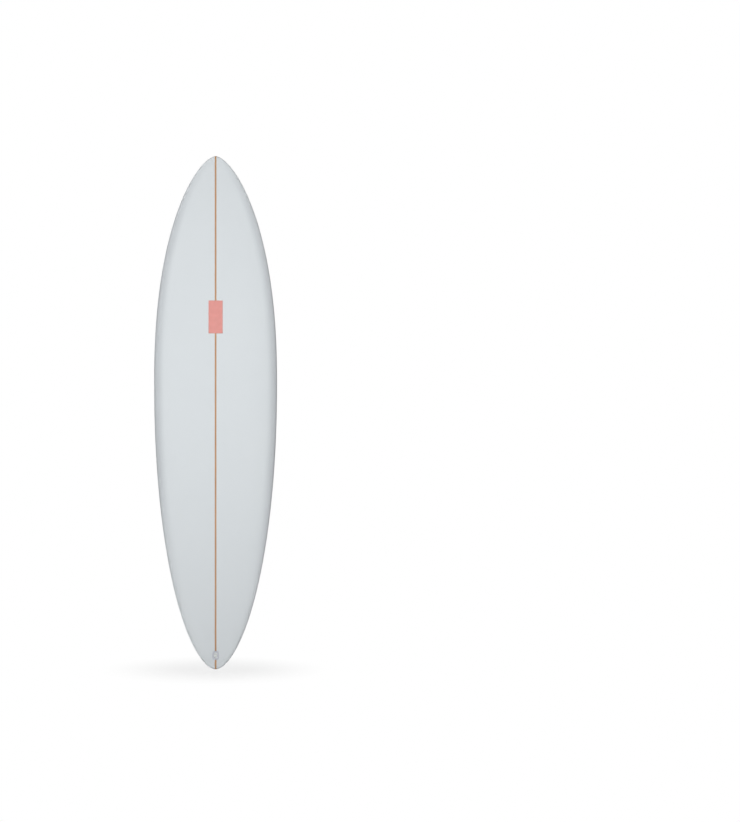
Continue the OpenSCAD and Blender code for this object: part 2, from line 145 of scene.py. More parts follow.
class BoardShape(bpy.types.PropertyGroup):
    """Sizes of the board, in the frame's metres."""

    board_length: size("Length", "From the tail tip to the nose tip", CAD_BOX[1].z - CAD_BOX[0].z)
    board_width: size("Width", "Greatest width from rail to rail", CAD_BOX[1].x - CAD_BOX[0].x)
    thickness: size("Thickness", "Greatest thickness at the stringer", 0.067)
    wide_point: share("Wide point", "Place of the greatest width, from the tail", 0.56)
    thick_point: share("Thick point", "Place of the greatest thickness, from the tail", 0.52)
    nose_hold: share("Nose hold", "How long the nose half stays wide", 2.25)
    nose_point: share("Nose point", "How pointed the nose is", 0.62)
    tail_hold: share("Tail hold", "How long the tail half stays wide", 2.1)
    tail_point: share("Tail point", "How pointed the tail is", 0.56)
    tip_blunt: size("Tip blunt", "How far the outline stops short of its points", 0.0008)
    tip_flat: size("Tip flat", "How far the thickness stops short of its ends", 0.002)
    tip_round: size("Tip round", "Length over which the thickness rounds off at a tip", 0.012)
    tip_edge: size("Tip edge", "Rounding of the edge of a tip", 0.002)
    tip_squeeze: share("Tip squeeze", "How much a tip's last rows draw in", 0.6)
    nose_rocker: size("Nose rocker", "Lift of the nose tip", 0.117)
    tail_rocker: size("Tail rocker", "Lift of the tail tip", 0.051)
    rocker_flat: share("Rocker flat", "Place of the flat of the bottom, from the tail", 0.47)
    nose_lift: share("Nose lift", "How late the nose lifts", 2.5)
    tail_lift: share("Tail lift", "How late the tail lifts", 2.1)
    nose_edge: size("Nose edge", "Thickness just inside the nose tip", 0.012)
    tail_edge: size("Tail edge", "Thickness just inside the tail tip", 0.014)
    rail_apex: share("Rail apex", "Height of the rail's widest line, as a share of the thickness", 0.31)
    deck_breadth: share("Deck breadth", "How wide the deck stays full", 4.0)
    deck_roll: share("Deck roll", "How boxy the upper rail is", 2.0)
    rail_tuck: size("Rail tuck", "How far the rail tucks under", 0.024)
    concave_depth: size("Concave depth", "Depth of the concave in the front half", 0.008)
    concave_inset: size("Concave inset", "From the rail to the concave's edge", 0.05)
    concave_wall: size("Concave wall", "Width of the concave's sloping wall", 0.03)
    channel_depth: size("Channel depth", "Depth of the channel in the tail", 0.009)
    channel_reach: size("Channel reach", "From the stringer to the channel's edge", 0.104)
    channel_wall: size("Channel wall", "Width of the channel's sloping wall", 0.03)
    stringer_width: size("Stringer", "Width of the wooden stringer", 0.00635)
    glue_thickness: size("Glue line", "Thickness of each glue line", 0.0004)
    skin_depth: size("Skin depth", "Depth of the foam below the surface", 0.001)
    gloss_thickness: size("Gloss coat", "Thickness of the clear gloss shell", 0.0004)
    cloth_depth: size("Inner cloth", "Depth of the inner cloth below the deck", 0.0007)
    film_thickness: size("Film", "Thickness of the label, the dots and the cloth", 0.0001)


class FittingShape(bpy.types.PropertyGroup):
    """Sizes and places of the label, the dots, the fin boxes and the leash plug, in metres."""

    label_length: size("Label length", "Length of the label panel", 0.137)
    label_width: size("Label width", "Width of the label panel", 0.059)
    label_place: size("Label place", "From the tail tip to the label's middle", 1.47)
    label_depth: size("Label depth", "Depth of the label below the deck", 0.0005)
    dot_diameter: size("Dot", "Diameter of a fin dot", 0.027)
    dot_offset: size("Dot offset", "From the stringer to a dot's middle", 0.167)
    dot_place: size("Dot place", "From the tail tip to a dot's middle", 0.44)
    dot_depth: size("Dot depth", "Depth of a dot below the bottom", 0.0008)
    box_place: size("Box place", "From the tail tip to a fin box's middle", 0.35)
    box_offset: size("Box offset", "From the stringer to a fin box's middle", 0.126)
    toe_in: angle("Toe-in", "Lean of a box's front towards the stringer", 2.0)
    rim_length: size("Rim length", "Length of a box's rim", 0.139)
    rim_width: size("Rim width", "Width of a box's rim", 0.0114)
    body_width: size("Body width", "Width of a box's body", 0.0132)
    body_corner: size("Body corner", "Corner radius of a box's body", 0.004)
    flange_length: size("Flange length", "Length of a box's flange", 0.15)
    flange_width: size("Flange width", "Width of a box's flange", 0.036)
    flange_corner: size("Flange corner", "Corner radius of a box's flange", 0.01)
    flange_floor: size("Flange floor", "Depth of the flange's lower face", 0.0044)
    box_floor: size("Box floor", "Depth of a box's lower face", 0.0218)
    box_front: size("Box front", "Length of the cream front of a box", 0.021)
    plug_place: size("Plug place", "From the tail tip to the leash plug's middle", 0.06)
    plug_length: size("Plug length", "Length of the plug's flange", 0.038)
    plug_width: size("Plug width", "Width of the plug's flange", 0.026)
    plug_flange: size("Plug flange", "Depth of the flange's lower face", 0.002)
    cup_length: size("Cup length", "Length of the plug's cup", 0.033)
    cup_width: size("Cup width", "Width of the plug's cup", 0.022)
    cup_depth: size("Cup depth", "Depth of the plug's cup", 0.013)
    cup_side: size("Cup side", "Thickness of the cup's sides", 0.0035)
    cup_end: size("Cup end", "Thickness of the cup's ends", 0.004)
    resin_gap: size("Resin gap", "Resin round a set-in body", 0.0015)
    rim_gap: size("Rim gap", "Resin round a rim in the glass", 0.0007)
    resin_bite: size("Resin bite", "How far the resin wets into what it touches", 0.00006)
    cut_over: size("Cut over", "How far a cut runs past the surface", 0.006)
    moulded_edge: size("Moulded edge", "Rounding of the edges of moulded pieces", 0.0003)
    turned_edge: size("Turned edge", "Rounding of the edges of metal pieces", 0.00015)


class BoardFinish(bpy.types.PropertyGroup):
    """Colours of the board's finishes."""

    foam: tint("Foam", "Sanded white foam", (0.682, 0.704, 0.728))
    foam_shade: tint("Foam shade", "Denser places in the foam", (0.652, 0.679, 0.708))
    # Painted shade: a darker foam colour round the upper rail
    lap: tint("Lap", "Foam under the doubled glass round the rails", (0.57, 0.593, 0.62))
    # Painted shade: a darker bluish foam colour along the bottom contours' walls
    pool: tint("Pool", "Foam under the thick resin along the contours' walls", (0.545, 0.6, 0.705))
    wood: tint("Wood", "Early wood of the stringer", (0.548, 0.317, 0.161))
    wood_grain: tint("Wood grain", "Late wood of the stringer", (0.408, 0.212, 0.101))
    glue: tint("Glue", "Dried glue beside the stringer", (0.54, 0.36, 0.24))
    cloth: tint("Cloth", "Strands of the inner cloth", (0.66, 0.695, 0.725))
    label: tint("Label", "Pink of the label panel", (0.93, 0.4, 0.362))
    label_fibre: tint("Label fibre", "Paler fibres of the label", (0.945, 0.51, 0.472))
    dot: tint("Dot", "Black of the fin dots", (0.012, 0.012, 0.013))
    dot_fibre: tint("Dot fibre", "Paler fibres of the fin dots", (0.03, 0.03, 0.032))
    box: tint("Box", "White plastic of the fin boxes", (0.86, 0.885, 0.88))
    box_front: tint("Box front", "Cream front of the fin boxes", (0.86, 0.85, 0.76))
    resin: tint("Resin", "Tint of the casting resin round the fittings", (0.815, 0.832, 0.875))
    resin_haze: tint("Resin haze", "Haze in that resin", (0.45, 0.5, 0.58))
    resin_cloud: tint("Resin cloud", "Milkier places in that haze", (0.52, 0.56, 0.63))
    cup: tint("Cup", "Pale grey plastic of the leash plug", (0.49, 0.5, 0.56))
    cup_fleck: tint("Cup fleck", "Paler flecks in the leash plug", (0.53, 0.54, 0.6))
    # Painted light: a lighter colour in the cup's hollow, where shade would fall
    cup_painted_light: tint("Cup hollow", "Inside of the leash plug's cup", (0.62, 0.64, 0.64))
    steel: tint("Steel", "Stainless steel", (0.76, 0.77, 0.765))
    gloss: tint("Gloss", "Clear gloss coat", (0.998, 1.0, 0.999))


class Surfboard(bpy.types.PropertyGroup):
    """Everything that a user may change."""

    shape: PointerProperty(type=BoardShape)
    fittings: PointerProperty(type=FittingShape)
    finish: PointerProperty(type=BoardFinish)


def settings():
    return bpy.context.scene.surfboard


# The board's form

def clip(value):
    return min(1.0, max(0.0, value))


def smooth_step(low, high, value):
    k = clip((value - low) / (high - low))
    return k * k * (3.0 - 2.0 * k)


def wall_rise(edge, foot, x):
    """Rise of a contour's wall: sharp at its edge, soft at its foot."""
    k = clip((edge - x) / (edge - foot))
    return 1.0 - (1.0 - k) ** 3


def wall_slope(edge, foot, x):
    """Steepness of a contour's wall, as a share of that at its edge."""
    k = (edge - x) / (edge - foot)
    return (1.0 - clip(k)) ** 2 if k > -EDGE_PLAY else 0.0


class Hull:
    """The board's form: outline, rocker and foil along z, and the section at every z."""

    # Fades of the contours along the board, and the share of their depth that is left at the stringer
    concave_rear, concave_front, concave_middle = (0.37, 0.42), (0.74, 0.79), 0.7
    channel_rear, channel_front, channel_middle = (0.045, 0.075), (0.18, 0.33), 0.25
    # How the painted shade round the upper rail fades away from the rail, and along the board towards
    # both tips
    lap_edge, lap_rear, lap_front = (0.014, 0.046), (0.1, 0.45), (0.86, 1.05)
    # How long the thickness holds towards the tips, and how full it stays
    nose_foil, tail_foil = (2.0, 0.95), (2.2, 0.75)

    def __init__(self):
        self.shape = settings().shape
        self.length = self.shape.board_length
        self.half = self.shape.board_width / 2
        self.flat_y = self.shape.tail_rocker + self.foil(0.0) / 2

    def outline(self, z):
        """Half of the width."""
        s = self.shape
        wide = s.wide_point * self.length
        if z > wide:
            u, hold, point = (z - wide) / (self.length + s.tip_blunt - wide), s.nose_hold, s.nose_point
        else:
            u, hold, point = (wide - z) / (wide + s.tip_blunt), s.tail_hold, s.tail_point
        return self.half * (1.0 - u ** hold) ** point

    def foil(self, z):
        """Thickness at the stringer, rounded off at the tips."""
        s = self.shape
        t = z / self.length
        if t > s.thick_point:
            u, fade, edge = (t - s.thick_point) / (1.0 - s.thick_point), self.nose_foil, s.nose_edge
        else:
            u, fade, edge = (s.thick_point - t) / s.thick_point, self.tail_foil, s.tail_edge
        body = (1.0 - min(1.0, u) ** fade[0]) ** fade[1]
        d = min(1.0, (min(z, self.length - z) + s.tip_flat) / s.tip_round)
        return (edge + (s.thickness - edge) * body) * math.sqrt(1.0 - (1.0 - d) ** 2)

    def bottom_y(self, z):
        s = self.shape
        t = z / self.length
        if t > s.rocker_flat:
            lift = s.nose_rocker * ((t - s.rocker_flat) / (1.0 - s.rocker_flat)) ** s.nose_lift
        else:
            lift = s.tail_rocker * ((s.rocker_flat - t) / s.rocker_flat) ** s.tail_lift
        return self.flat_y - lift

    def deck_y(self, z):
        return self.bottom_y(z) - self.foil(z)

    def lean(self, curve, z):
        """Lean of a curve of y along z, as an angle about X."""
        step = 0.001
        return -math.atan((curve(z + step) - curve(z - step)) / (2 * step))

    def concave_edge(self, w):
        return w - max(EDGE_SHARE * w, self.shape.concave_inset * (w / self.half) ** 2)

    def channel_edge(self, w):
        return min(self.shape.channel_reach, CHANNEL_SHARE * w)

    def concave_foot(self, w):
        """The foot of the concave's wall, at most two thirds of the way to the channel."""
        edge = self.concave_edge(w)
        return edge - min(self.shape.concave_wall, (edge - self.channel_edge(w)) * 2 / 3)

    def channel_foot(self, w):
        """The foot of the channel's wall, at most a third of the way to the stringer."""
        edge = self.channel_edge(w)
        return edge - min(self.shape.channel_wall, edge / 3)

    def fades(self, z):
        """How fully the concave and the channel are cut at z."""
        t = z / self.length
        concave = smooth_step(*self.concave_rear, t) * (1.0 - smooth_step(*self.concave_front, t))
        channel = smooth_step(*self.channel_rear, t) * (1.0 - smooth_step(*self.channel_front, t))
        return concave, channel

    def contour(self, x, w, z):
        """Depth of the bottom's contours at the distance x from the middle."""
        s = self.shape
        concave, channel = self.fades(z)
        a, b = self.concave_edge(w), self.channel_edge(w)
        concave *= s.concave_depth * (self.concave_middle + (1.0 - self.concave_middle) * x / a)
        channel *= s.channel_depth * (self.channel_middle + (1.0 - self.channel_middle) * x / b)
        return (concave * wall_rise(a, self.concave_foot(w), x)
                + channel * wall_rise(b, self.channel_foot(w), x))

    def pool(self, x, w, z):
        """Share of the painted shade along the contours' walls, most at their steep edges."""
        concave, channel = self.fades(z)
        return (concave * wall_slope(self.concave_edge(w), self.concave_foot(w), x)
                + channel * wall_slope(self.channel_edge(w), self.channel_foot(w), x))

    def lap(self, x, w, z, height):
        """Share of the painted shade round the upper rail, at a height above the bottom."""
        t = z / self.length
        over_rail = 1.0 - smooth_step(*self.lap_edge, w - x)
        off_bottom = smooth_step(0.0, self.shape.rail_apex * self.foil(z), height)
        along = smooth_step(*self.lap_rear, t) * (1.0 - smooth_step(*self.lap_front, t))
        return over_rail * off_bottom * along

    def tuck(self, w):
        return min(self.shape.rail_tuck, TUCK_SHARE * w)

    def bottom_places(self, w):
        """Places across the bottom, from the tuck to the middle, closest at the contours' edges."""
        a, b = self.concave_edge(w), self.channel_edge(w)
        a_foot, b_foot = self.concave_foot(w), self.channel_foot(w)
        places = [a + EDGE_SUPPORT * (w - self.tuck(w) - a)]
        places += [a + (a_foot - a) * t for t in WALL_STEPS]
        places += [a_foot + (b - a_foot) * t for t in FLAT_STEPS]
        places += [b + (b_foot - b) * t for t in WALL_STEPS]
        places += [b_foot * (1.0 - t) for t in MIDDLE_STEPS]
        return places

    def half_section(self, z, depth):
        """Points (x, y) of the right half, from the deck's middle round the rail to the bottom's."""
        s = self.shape
        w = self.outline(z) - depth
        h = self.foil(z)
        apex = s.rail_apex * h
        heights = []
        for k in range(DECK_STEPS):
            turn = math.pi / 2 * k / DECK_STEPS
            x = w * math.sin(turn) ** (2 / s.deck_breadth)
            rise = (h - depth - apex) * math.cos(turn) ** (2 / s.deck_roll)
            heights.append((x, apex + rise))
        for k in range(TUCK_STEPS + 1):
            turn = math.pi / 2 * k / TUCK_STEPS
            x = w - self.tuck(w) * (1.0 - math.cos(turn))
            heights.append((x, apex - (apex - depth) * math.sin(turn)))
        for x in self.bottom_places(w):
            heights.append((x, depth + self.contour(x, w, z)))
        base = self.bottom_y(z)
        return [(x, base - height) for x, height in heights]

    def deck_point(self, x, z, depth):
        """A point of the deck at a depth below its surface."""
        s = self.shape
        w = self.outline(z) - depth
        h = self.foil(z)
        apex = s.rail_apex * h
        full = max(0.0, 1.0 - (abs(x) / w) ** s.deck_breadth) ** (1 / s.deck_roll)
        return Vector((x, self.bottom_y(z) - apex - (h - depth - apex) * full, z))

    def bottom_point(self, x, z, depth):
        """A point of the bottom at a depth below its surface."""
        return Vector((x, self.bottom_y(z) - depth - self.contour(abs(x), self.outline(z), z), z))

    def stations(self, low, high):
        """Places along the board, closer together towards the tips."""
        for k in range(ROWS + 1):
            t = k / ROWS
            eased = (1.0 - math.cos(math.pi * t)) / 2
            yield low + (high - low) * (EVEN_ROWS * t + (1.0 - EVEN_ROWS) * eased)

    def core_rows(self, depth):
        """Sections of a layer inside the skin: pairs of a height and the points of its right half."""
        for z in self.stations(0.0, self.length):
            yield depth + (self.length - 2 * depth) * z / self.length, self.half_section(z, depth)

    def skin_rows(self):
        """Sections of the outer surface, with the edges of both tips rounded."""
        radius, squeeze = self.shape.tip_edge, self.shape.tip_squeeze
        turns = [math.pi / 2 * k / TIP_ROWS for k in range(TIP_ROWS)]
        tips = [(radius * (1.0 - math.cos(a)), 1.0 - math.sin(a)) for a in turns]

        def tip_row(z, drawn):
            points = self.half_section(z, radius * drawn)
            return z, [(x * (1.0 - squeeze * drawn), y) for x, y in points]

        for z, drawn in tips:
            yield tip_row(z, drawn)
        for z in self.stations(radius, self.length - radius):
            yield z, self.half_section(z, 0.0)
        for z, drawn in reversed(tips):
            yield tip_row(self.length - z, drawn)

    def box_frame(self, side):
        """The frame of a fin box: +Y out of the bottom, +Z along the slot to the nose."""
        f = settings().fittings
        place = Matrix.Translation((side * f.box_offset, self.bottom_y(f.box_place), f.box_place))
        lean = Matrix.Rotation(self.lean(self.bottom_y, f.box_place), 4, "X")
        return place @ lean @ Matrix.Rotation(-side * f.toe_in, 4, "Y")

    def plug_frame(self):
        """The frame of the leash plug: -Y out of the deck."""
        place = settings().fittings.plug_place
        return (Matrix.Translation((0.0, self.deck_y(place), place))
                @ Matrix.Rotation(self.lean(self.deck_y, place), 4, "X"))


# Meshes

def sheet_mesh(points):
    """A grid whose vertices are moved to the rows of points."""
    mesh = bmesh.new()
    last_row, last_column = len(points) - 1, len(points[0]) - 1
    bmesh.ops.create_grid(mesh, x_segments=last_column, y_segments=last_row, size=0.5)
    for vert in mesh.verts:
        row = round((vert.co.y + 0.5) * last_row)
        column = round((vert.co.x + 0.5) * last_column)
        vert.co = points[row][column]
    return mesh


def mirrored(points):
    return [(-x, y) for x, y in reversed(points)]


def raised(points, z):
    return [Vector((x, y, z)) for x, y in points]


def tube_mesh(sections):
    """A closed body through sections, whose points go once round it."""
    mesh = sheet_mesh([section + section[:1] for section in sections])
    bmesh.ops.remove_doubles(mesh, verts=mesh.verts, dist=SAME_POINT)
    bmesh.ops.holes_fill(mesh, edges=mesh.edges, sides=0)
    bmesh.ops.recalc_face_normals(mesh, faces=mesh.faces)
    return mesh


def saw_off(mesh, cut):
    """Takes off what lies between the middle and a plane across X, and closes the cut."""
    everything = mesh.verts[:] + mesh.edges[:] + mesh.faces[:]
    bmesh.ops.bisect_plane(mesh, geom=everything, dist=SAME_POINT, clear_inner=True,
                           plane_co=cut, plane_no=cut.normalized())
    bmesh.ops.holes_fill(mesh, edges=mesh.edges, sides=0)
    bmesh.ops.recalc_face_normals(mesh, faces=mesh.faces)


def plate_mesh(length, width, corner, low, high, place):
    """An upright plate with round corners, between two levels along its own Y."""
    mesh = bmesh.new()
    bmesh.ops.create_cube(mesh, size=1.0)
    bmesh.ops.scale(mesh, vec=(width, high - low, length), verts=mesh.verts)
    bmesh.ops.translate(mesh, vec=(0.0, (low + high) / 2, 0.0), verts=mesh.verts)
    upright = [e for e in mesh.edges if abs(e.verts[0].co.y - e.verts[1].co.y) > SAME_POINT]
    bmesh.ops.bevel(mesh, geom=upright, offset=corner, offset_type="OFFSET", segments=CORNER_STEPS,
                    profile=0.5, affect="EDGES", clamp_overlap=True, material=-1)
    bmesh.ops.transform(mesh, matrix=place, verts=mesh.verts)
    return mesh


def round_ended(length, width, low, high, place):
    """A plate whose ends are half circles."""
    return plate_mesh(length, width, width / 2 - SAME_POINT, low, high, place)


def node_mesh(node):
    """A copy of a node's mesh, with its loose triangles merged into flat faces."""
    mesh = bmesh.new()
    mesh.from_mesh(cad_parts[node].data)
    bmesh.ops.remove_doubles(mesh, verts=mesh.verts, dist=SAME_POINT)
    bmesh.ops.dissolve_limit(mesh, angle_limit=FLAT_ANGLE, use_dissolve_boundaries=False,
                             verts=mesh.verts, edges=mesh.edges)
    return mesh


def new_piece(mesh, name, material=None):
    """An object of a finished mesh, smooth but for its sharp edges."""
    data = bpy.data.meshes.new(name)
    mesh.to_mesh(data)
    mesh.free()
    if material:
        data.materials.append(material)
    piece = bpy.data.objects.new(name, data)
    bpy.context.scene.collection.objects.link(piece)
    smooth_shade(piece)
    return piece


def smooth_shade(piece):
    piece.data.shade_smooth()
    piece.data.set_sharp_from_angle(angle=SMOOTH_ANGLE)


def even_shade(piece):
    """Keeps flat faces flat up to their rounded edges."""
    even = piece.modifiers.new("Flat faces", "WEIGHTED_NORMAL")
    even.keep_sharp = True
    return piece


def eased_cast(node, edge, name, material):
    """A node's moulded or turned piece, with its sharp edges rounded."""
    mesh = node_mesh(node)
    sharp = [e for e in mesh.edges if e.is_manifold and e.calc_face_angle() > SMOOTH_ANGLE]
    bmesh.ops.bevel(mesh, geom=sharp, offset=edge, offset_type="OFFSET", segments=EASE_STEPS,
                    profile=0.5, affect="EDGES", clamp_overlap=True, material=-1)
    return even_shade(new_piece(mesh, name, material))


def resin_cast(node, name, material):
    """A node's resin, which wets a little into what it touches."""
    piece = new_piece(node_mesh(node), name, material)
    bite = piece.modifiers.new("Bite", "DISPLACE")
    bite.strength = settings().fittings.resin_bite
    bite.mid_level = 0.0
    return even_shade(piece)


def thicken(piece, thickness):
    """Gives a sheet its thickness, on its inner side."""
    wall = piece.modifiers.new("Thickness", "SOLIDIFY")
    wall.thickness = thickness
    wall.offset = -1.0


def carve(piece, cutters):
    """Applies a piece's modifiers, and cuts the cutters out of it."""
    tools = [new_piece(mesh, "cutter") for mesh in cutters]
    for tool in tools:
        cut = piece.modifiers.new("Cut", "BOOLEAN")
        cut.operation = "DIFFERENCE"
        cut.solver = "EXACT"
        cut.object = tool
    graph = bpy.context.evaluated_depsgraph_get()
    data = bpy.data.meshes.new_from_object(piece.evaluated_get(graph))
    piece.modifiers.clear()
    uncut, piece.data = piece.data, data
    # A cutter goes with its mesh
    for spent in [uncut] + [tool.data for tool in tools]:
        bpy.data.meshes.remove(spent)
    data.name = piece.name
    smooth_shade(piece)


def fit(piece, slot, *nodes, body="board"):
    """Sets a piece on its body in the place of the nodes it stands for, and hides those nodes; the finish
    slot is not used.
    """
    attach(piece, body)
    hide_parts(*nodes)


# Materials

def add_node(tree, kind, inputs=None, **values):
    """A new node with its values set, and its inputs set or linked."""
    node = tree.nodes.new(kind)
    for key, value in values.items():
        setattr(node, key, value)
    for key, value in (inputs or {}).items():
        if isinstance(value, bpy.types.NodeSocket):
            tree.links.new(value, node.inputs[key])
        else:
            node.inputs[key].default_value = value
    return node


def opaque(colour):
    return (*colour, 1.0)


def math_node(tree, operation, a, b=0.0):
    return add_node(tree, "ShaderNodeMath", {0: a, 1: b}, operation=operation).outputs[0]


def between(tree, factor, a, b):
    """A colour between two others."""
    a, b = (c if isinstance(c, bpy.types.NodeSocket) else opaque(c) for c in (a, b))
    return add_node(tree, "ShaderNodeMix", {0: factor, 6: a, 7: b}, data_type="RGBA").outputs[2]


def ranged(tree, value, low, high):
    """A value of 0 to 1 taken to another range."""
    node = add_node(tree, "ShaderNodeMapRange", {"Value": value, "To Min": low, "To Max": high})
    return node.outputs["Result"]


def bumped(tree, height, distance):
    return add_node(tree, "ShaderNodeBump", {"Height": height, "Distance": distance}).outputs["Normal"]


def new_group(name, inputs, outputs):
    """An empty shader group with its sockets, and its input and output nodes."""
    tree = bpy.data.node_groups.new(name, "ShaderNodeTree")
    for socket, kind in inputs:
        tree.interface.new_socket(socket, in_out="INPUT", socket_type=kind)
    for socket in outputs:
        tree.interface.new_socket(socket, in_out="OUTPUT", socket_type="NodeSocketFloat")
    return tree, add_node(tree, "NodeGroupInput").outputs, add_node(tree, "NodeGroupOutput")


def speckle_group():
    """Fine grain over slow clouds, each in lumps to the metre, for foam, paper, plastic and resin."""
    layers = {"Grain": 3.0, "Clouds": 2.0}
    scales = [(name, "NodeSocketFloat") for name in layers]
    tree, given, out = new_group("Speckle", [("Place", "NodeSocketVector")] + scales, layers)
    for name, detail in layers.items():
        noise = add_node(tree, "ShaderNodeTexNoise",
                         {"Vector": given["Place"], "Scale": given[name], "Detail": detail})
        tree.links.new(noise.outputs["Fac"], out.inputs[name])
    return tree


def weave_group():
    """Plain weave of strands along X and Z, so many to the metre, for the cloth and the label."""
    tree, given, out = new_group(
        "Weave", [("Place", "NodeSocketVector"), ("Strands", "NodeSocketFloat")], ["Height"])
    place = add_node(tree, "ShaderNodeSeparateXYZ", {"Vector": given["Place"]}).outputs
    waves = []
    for axis in ("X", "Z"):
        turn = math_node(tree, "MULTIPLY", place[axis], given["Strands"])
        waves.append(math_node(tree, "SINE", math_node(tree, "MULTIPLY", turn, math.pi)))
    height = math_node(tree, "MULTIPLY", waves[0], waves[1])
    tree.links.new(ranged(tree, height, 0.0, 1.0), out.inputs["Height"])
    return tree


def streak_group():
    """Fine streaks along a stretched place, for wood and for brushed metal."""
    tree, given, out = new_group(
        "Streaks", [("Place", "NodeSocketVector"), ("Stretch", "NodeSocketVector")], ["Streaks"])
    stretched = add_node(tree, "ShaderNodeVectorMath", {0: given["Place"], 1: given["Stretch"]},
                         operation="MULTIPLY").outputs[0]
    noise = add_node(tree, "ShaderNodeTexNoise", {"Vector": stretched, "Scale": 1.0, "Detail": 5.0})
    tree.links.new(noise.outputs["Fac"], out.inputs["Streaks"])
    return tree


GROUPS = {"Speckle": speckle_group, "Weave": weave_group, "Streaks": streak_group}


def group(tree, name, **inputs):
    """A shared effect placed in a material with its own values. The group is built once."""
    shared = bpy.data.node_groups.get(name) or GROUPS[name]()
    return add_node(tree, "ShaderNodeGroup", inputs, node_tree=shared).outputs


def begin_material(name):
    """An empty material: its tree, its output's shader socket and the place on the object."""
    material = bpy.data.materials.new(name)
    material.use_nodes = True
    tree = material.node_tree
    tree.nodes.clear()
    surface = add_node(tree, "ShaderNodeOutputMaterial").inputs["Surface"]
    place = add_node(tree, "ShaderNodeTexCoord").outputs["Object"]
    return material, tree, surface, place


def principled(tree, **inputs):
    named = {key.replace("_", " "): value for key, value in inputs.items()}
    return add_node(tree, "ShaderNodeBsdfPrincipled", named).outputs[0]


def solid_finish(tree, surface, **inputs):
    """Ends a material that hides what lies behind it."""
    tree.links.new(principled(tree, **inputs), surface)


def seen_through(tree, surface, cover, colour, shader):
    """Ends a material that shows its shader by the share of its cover, and is clear elsewhere."""
    clear = add_node(tree, "ShaderNodeBsdfTransparent", {"Color": opaque(colour)}).outputs[0]
    mix = add_node(tree, "ShaderNodeMixShader", {0: cover, 1: clear, 2: shader})
    tree.links.new(mix.outputs[0], surface)


def foam_material():
    finish = settings().finish
    material, tree, surface, place = begin_material("sanded_foam")
    speckle = group(tree, "Speckle", Place=place, Grain=700.0, Clouds=5.0)
    halves = [math_node(tree, "MULTIPLY", speckle[layer], 0.5) for layer in ("Grain", "Clouds")]
    shade = math_node(tree, "ADD", *halves)
    foam = between(tree, shade, finish.foam, finish.foam_shade)
    # Painted shade: the foam is darkened round the upper rail and along the bottom contours' walls
    for mark, colour in (("lap", finish.lap), ("pool", finish.pool)):
        amount = add_node(tree, "ShaderNodeAttribute", attribute_name=mark).outputs["Fac"]
        foam = between(tree, amount, foam, colour)
    solid_finish(
        tree, surface, Base_Color=foam, Roughness=ranged(tree, speckle["Grain"], 0.7, 0.9),
        Specular_IOR_Level=UNDER_GLASS, Normal=bumped(tree, speckle["Grain"], 0.00008))
    return material


def wood_material():
    finish = settings().finish
    material, tree, surface, place = begin_material("planed_wood")
    streaks = group(tree, "Streaks", Place=place, Stretch=(500.0, 500.0, 7.0))["Streaks"]
    grain = ranged(tree, streaks, *WOOD_CONTRAST)
    solid_finish(
        tree, surface, Base_Color=between(tree, grain, finish.wood, finish.wood_grain),
        Roughness=ranged(tree, streaks, 0.45, 0.65), Specular_IOR_Level=UNDER_GLASS,
        Normal=bumped(tree, streaks, 0.0001))
    return material


def plain_material(name, colour, fibre, grain, low, high, depth):
    """Paper or glue under the glass: two close colours mixed by its grain."""
    material, tree, surface, place = begin_material(name)
    speckle = group(tree, "Speckle", Place=place, Grain=grain, Clouds=40.0)
    solid_finish(
        tree, surface, Base_Color=between(tree, speckle["Grain"], colour, fibre),
        Roughness=ranged(tree, speckle["Clouds"], low, high), Specular_IOR_Level=UNDER_GLASS,
        Normal=bumped(tree, speckle["Grain"], depth))
    return material


def on_outer_side(tree, cover):
    """A cover that holds only where a face is seen from outside."""
    back = add_node(tree, "ShaderNodeNewGeometry").outputs["Backfacing"]
    return math_node(tree, "MULTIPLY", cover, math_node(tree, "SUBTRACT", 1.0, back))


def gloss_material():
    """Clear gloss coat: it reflects by its angle."""
    material, tree, surface, place = begin_material("gloss_coat")
    speckle = group(tree, "Speckle", Place=place, Grain=160.0, Clouds=9.0)
    normal = bumped(tree, speckle["Clouds"], 0.0004)
    fresnel = add_node(tree, "ShaderNodeFresnel", {"IOR": GLASS_IOR, "Normal": normal}).outputs[0]
    mirror = math_node(tree, "MULTIPLY", fresnel, MIRROR_SHARE)
    mirror = math_node(tree, "MINIMUM", mirror, MOST_MIRROR)
    shader = principled(
        tree, Base_Color=WHITE, Metallic=1.0,
        Roughness=ranged(tree, speckle["Grain"], 0.04, 0.1), Normal=normal)
    seen_through(tree, surface, on_outer_side(tree, mirror), settings().finish.gloss, shader)
    return material


def resin_material(name):
    """Casting resin: clear and tinted, with a thin haze on its outer side."""
    finish = settings().finish
    material, tree, surface, place = begin_material(name)
    speckle = group(tree, "Speckle", Place=place, Grain=160.0, Clouds=90.0)
    haze = ranged(tree, speckle["Clouds"], *HAZE_COVER)
    shader = principled(
        tree, Base_Color=between(tree, speckle["Clouds"], finish.resin_haze, finish.resin_cloud),
        Roughness=ranged(tree, speckle["Grain"], 0.1, 0.25), Specular_IOR_Level=UNDER_GLASS,
        Normal=bumped(tree, speckle["Clouds"], 0.0001))
    seen_through(tree, surface, on_outer_side(tree, haze), finish.resin, shader)
    return material


def cloth_material():
    finish = settings().finish
    material, tree, surface, place = begin_material("wetted_cloth")
    weave = group(tree, "Weave", Place=place, Strands=STRANDS)["Height"]
    shader = principled(tree, Base_Color=opaque(finish.cloth), Roughness=0.4,
                        Specular_IOR_Level=UNDER_GLASS, Normal=bumped(tree, weave, 0.0001))
    seen_through(tree, surface, ranged(tree, weave, *CLOTH_COVER), finish.gloss, shader)
    return material


